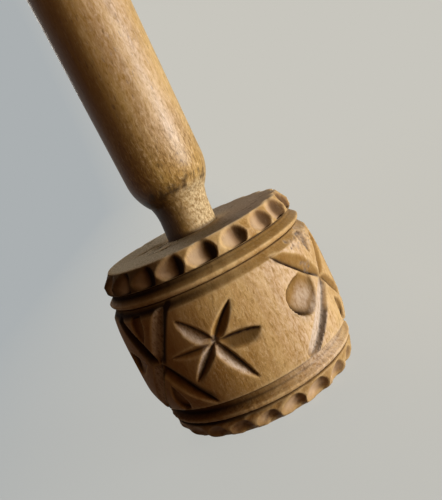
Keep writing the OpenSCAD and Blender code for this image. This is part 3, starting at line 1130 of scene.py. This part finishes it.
def handle_wood():
    """Wood polished by handling, with pores, and a pale raw neck."""
    s = Shader("handle_wood")
    blotch = s.noise(0.25, 60)
    rings = s.rings((0.03, -0.02, 0), 0.0028)
    streak = s.noise(0.05, 520, rough=0.6)
    mottle = s.noise(0.22, 420, 4.0, 0.65, 0.8)
    fleck = s.noise(0.34, 2000, 4.0, 0.72, 0.7)
    pore = s.noise(0.25, 2400, 1.0, 0.4)
    raw_fleck = s.noise(0.7, 2100, rough=0.65)

    # the wood itself
    s.colour = s.mix(s.between(blotch, 0.32, 0.68), (156, 114, 44), (202, 164, 88))
    s.layer((140, 98, 38), 0.25, rings, 0.2, 1.0)
    s.layer((120, 84, 38), 0.4, streak, 0.48, 0.68)
    s.layer((104, 70, 24), 0.4, mottle, 0.52, 0.72)
    s.layer((220, 186, 126), 0.3, mottle, 0.46, 0.32)
    s.layer((108, 76, 30), 0.28, fleck, 0.52, 0.66)
    s.layer((226, 194, 138), 0.2, fleck, 0.46, 0.34)
    s.layer((70, 46, 22), 0.5, pore, 0.66, 0.74)
    # use and age, with painted sheen on the right and painted shade on the left and at the neck
    s.layer((86, 54, 18), 0.5, fleck, 0.51, 0.6, "speckled")
    s.layer((236, 204, 152), 0.38, fleck, 0.45, 0.37, "speckled")
    # painted sheen on the right
    s.layer((230, 202, 178), 0.45, fleck, 0.7, 0.36, "painted_sheen")
    # painted shade on the left side
    s.layer((128, 74, 4), 0.7, word="brown_shade")
    raw = s.mix(s.between(raw_fleck, 0.36, 0.62), (136, 104, 58), (212, 186, 140))
    s.layer(raw, 0.92, word="raw_wood")
    # the torn line where the finish ends, and painted shade at the neck
    s.layer((48, 28, 12), 0.85, word="grime_and_shade")

    normal = s.bump(streak, 0.14, 0.0002)
    normal = s.bump(fleck, 0.15, 0.0002, normal)
    roughness = s.between(s.noise(0.3, 300), 0.2, 0.8, 0.49, 0.33)
    roughness = s.math("ADD", roughness, s.part("raw_wood", 0.28))
    s.surface("IOR", 1.3)
    return s.finish(roughness, normal)


def wedge_wood():
    """Raw split wood."""
    s = Shader("wedge_wood")
    grain = s.noise(0.06, 900, rough=0.6)
    s.colour = s.mix(s.between(grain, 0.35, 0.65), (176, 146, 102), (222, 198, 158))
    return s.finish(s.between(grain, 0.2, 0.8, 0.75, 0.55), s.bump(grain, 0.2, 0.0002))


# Pieces
head = make_head()
head.data.materials.append(carved_wood())
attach(head, "root")
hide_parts("stamp_head")

handle = make_handle()
handle.data.materials.clear()
handle.data.materials.append(handle_wood())
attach(handle, "root")
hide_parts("handle")

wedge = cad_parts["fox_wedge"]
wedge.data.materials.clear()
wedge.data.materials.append(wedge_wood())

# Floor that bends up into the backdrop on all sides, in metres
FLOOR_R = 1.1
FLOOR_BEND = 0.5
BACKDROP_H = 1.6
FLOOR_COLUMNS = 96
# Distances from the stamp between which its shadow fades from the floor
SHADOW_NEAR = 0.1
SHADOW_FAR = 0.5
# Share of its own colour that the floor loses to the shadow near the stamp, and the gain for it
SHADOW_SHARE = 0.16
SHADOW_GAIN = 0.11


def floor_paint():
    """Plain pale grey, painted lighter and warmer on the right as light falling there. Seen directly
    it is mostly its own colour, with the stamp's shadow on it near the stamp, and it throws little
    light back on the stamp."""
    s = Shader("floor")
    path = s.add("ShaderNodeLightPath").outputs
    seen = s.math("MAXIMUM", path["Is Camera Ray"], path["Is Glossy Ray"])
    seen = s.math("MAXIMUM", seen, path["Is Transmission Ray"])
    where = s.add("ShaderNodeSeparateXYZ", {0: s.place}).outputs
    # painted light: lighter and warmer on the right
    pale = s.mix(s.between(where["X"], -0.13, 0.05), (171, 176, 178), (200, 198, 190))
    s.surface("Base Color", s.mix(seen, (88, 62, 36), pale))
    s.surface("Specular IOR Level", 0.05)
    s.surface("Roughness", 0.9)
    reach = s.length(s.place)
    strength = s.between(reach, SHADOW_FAR, SHADOW_NEAR, 1.0 + SHADOW_GAIN, 1.0)
    glow = s.add("ShaderNodeEmission", {"Color": pale, "Strength": strength}).outputs[0]
    own = s.between(reach, SHADOW_NEAR, SHADOW_FAR, 1.0, 1.0 - SHADOW_SHARE)
    share = s.math("MULTIPLY", seen, own)
    both = s.add("ShaderNodeMixShader", {0: share, 1: s.principled.outputs[0], 2: glow}).outputs[0]
    s.join(s.tree.nodes["Material Output"].inputs["Surface"], both)
    return s.material


def make_floor():
    """Round floor with the backdrop round it."""
    rows = [(r, 0.0) for r in np.linspace(0.0, FLOOR_R, 12)]
    for a in np.linspace(0, math.pi / 2, 14)[1:]:
        rows.append((FLOOR_R + FLOOR_BEND * math.sin(a), FLOOR_BEND - FLOOR_BEND * math.cos(a)))
    rows.append((FLOOR_R + FLOOR_BEND, BACKDROP_H))
    turns = np.radians(np.linspace(0, 360, FLOOR_COLUMNS, endpoint=False))
    vertices = [(r * math.sin(t), -r * math.cos(t), z) for r, z in rows for t in turns]
    faces = []
    for i in range(len(rows) - 1):
        low = i * FLOOR_COLUMNS
        faces.extend(ring_faces(low, low + FLOOR_COLUMNS, FLOOR_COLUMNS, flip=True))
    floor = add_object("floor", smooth_mesh("floor", vertices, faces))
    floor.data.materials.append(floor_paint())
    floor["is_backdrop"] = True


make_floor()

# Camera, fitted to the photograph: focal length in pixels of its longer side, angles in radians
LONG_SIDE = 500
CAMERA_FOCUS = 696.87
CAMERA_DISTANCE = 158.2 * MM
CAMERA_RISE = 0.2471
CAMERA_ROLL = 0.4662
CAMERA_YAW = 0.0118
CAMERA_PITCH = -0.0849
CAMERA_AIM = Vector((0.0, 0.0, BAND_MID * MM))


def make_camera():
    """The scene's camera."""
    ahead = Vector((0.0, math.cos(CAMERA_RISE), -math.sin(CAMERA_RISE)))
    right = Vector((1.0, 0.0, 0.0))
    up = Vector((0.0, math.sin(CAMERA_RISE), math.cos(CAMERA_RISE)))
    eye = CAMERA_AIM - ahead * CAMERA_DISTANCE
    up, right = turned(up, right, CAMERA_ROLL)
    right, ahead = turned(right, ahead, CAMERA_YAW)
    up, ahead = turned(up, ahead, CAMERA_PITCH)
    data = bpy.data.cameras.new("camera")
    data.sensor_width = 36.0
    data.lens = CAMERA_FOCUS * data.sensor_width / LONG_SIDE
    data.clip_start = 0.005
    camera = add_object("camera", data)
    axes = Matrix((right, up, -ahead)).transposed()
    camera.matrix_world = Matrix.Translation(eye) @ axes.to_4x4()
    scene.camera = camera


make_camera()

# Lamps: name, turn, rise, distance, size, power and colour
LAMPS = (
    ("window", 63, 2.0, 0.75, (0.34, 0.07), 7.3, (0.97, 0.99, 1.03)),
    ("side_window", 40, 4.0, 0.75, (0.24, 0.12), 0.8, (1.0, 0.78, 0.54)),
    ("ceiling", -150, 68, 0.9, (0.6, 0.6), 1.1, (1.0, 0.9, 0.76)),
    ("bounce", -42, 6.0, 0.75, (0.5, 0.3), 0.24, (1.0, 0.5, 0.2)),
    ("back", 188, 20.0, 1.0, (0.6, 0.4), 2.3, (1.0, 0.93, 0.82)),
)
WORLD_COLOUR = (0.9, 0.64, 0.4, 1.0)
WORLD_STRENGTH = 0.022


def area_light(name, turn, rise, distance, size, power, colour):
    """Oval lamp that faces the middle of the head from a turn and a rise."""
    data = bpy.data.lights.new(name, "AREA")
    data.shape = "ELLIPSE"
    data.size, data.size_y = size
    data.energy = power
    data.color = colour
    lamp = add_object(name, data)
    swing = math.radians(turn)
    level = math.cos(math.radians(rise))
    way = Vector((level * math.sin(swing), -level * math.cos(swing), math.sin(math.radians(rise))))
    lamp.location = CAMERA_AIM + way * distance
    lamp.rotation_mode = "QUATERNION"
    lamp.rotation_quaternion = way.to_track_quat("Z", "Y")


for lamp in LAMPS:
    area_light(*lamp)

world = bpy.data.worlds.new("world")
world.use_nodes = True
background = world.node_tree.nodes["Background"].inputs
background["Color"].default_value = WORLD_COLOUR
background["Strength"].default_value = WORLD_STRENGTH
scene.world = world
scene.view_settings.view_transform = "Standard"

boxes = {"cad": cad_box, "visual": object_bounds()}
boxes = {name: [list(corner) for corner in box] for name, box in boxes.items()}
